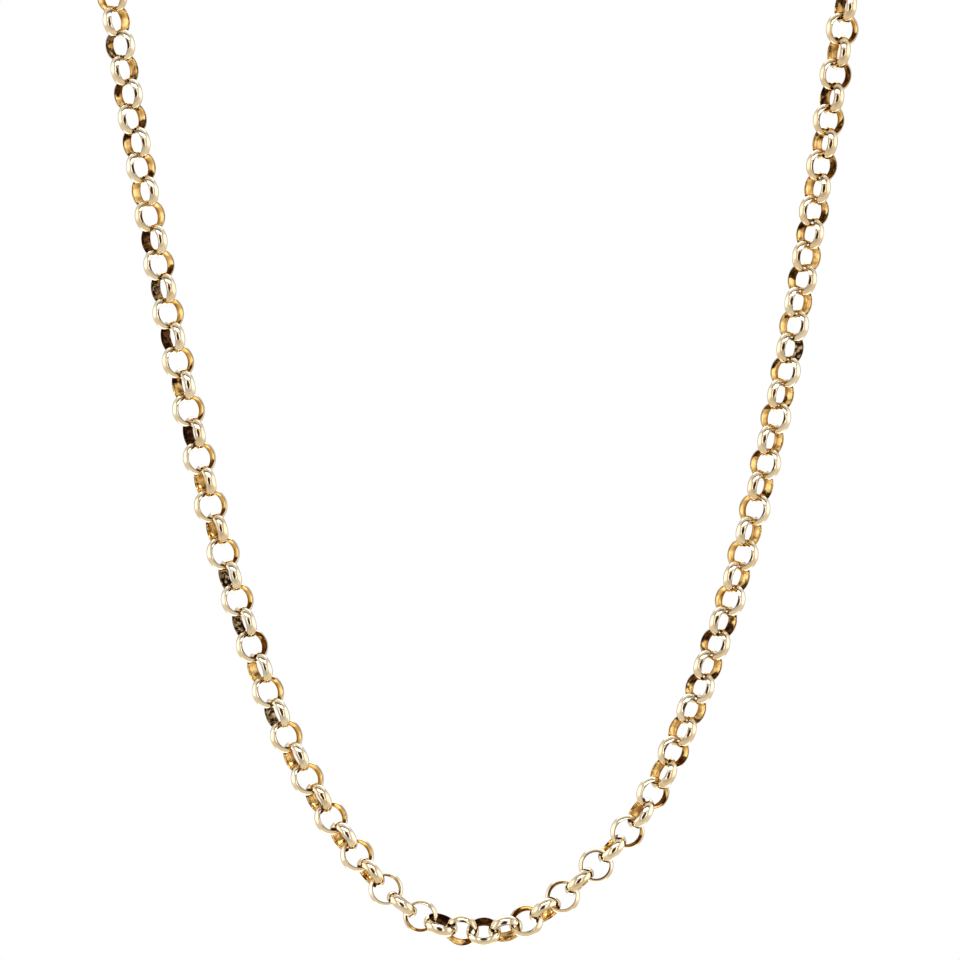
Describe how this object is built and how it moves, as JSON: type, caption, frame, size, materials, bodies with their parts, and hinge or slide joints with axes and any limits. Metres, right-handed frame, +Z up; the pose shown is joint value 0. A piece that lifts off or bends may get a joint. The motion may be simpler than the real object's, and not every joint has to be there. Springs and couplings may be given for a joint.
{
  "type": "rolo chain necklace",
  "caption": "Gold rolo chain necklace of round domed links, each through the next, hanging in a narrow U and closed at the nape by a plain bolt ring.",
  "frame": {"origin": "the middle of the clasp at the nape, where the loop rests on the back of the neck", "axes": "+X to the viewer's right, -Y to the front, +Z up; the front stretch hangs down and forward from the neck loop"},
  "size_m": [0.1093, 0.1015, 0.1711],
  "materials": {
    "gold": "polished pale yellow gold, bright on the domed outsides and darker on the worn insides"
  },
  "bodies": {
    "root": {"chain_left": "gold", "chain_right": "gold", "jump_ring_left": "gold", "jump_ring_right": "gold", "clasp": "gold"}
  },
  "joints": []
}
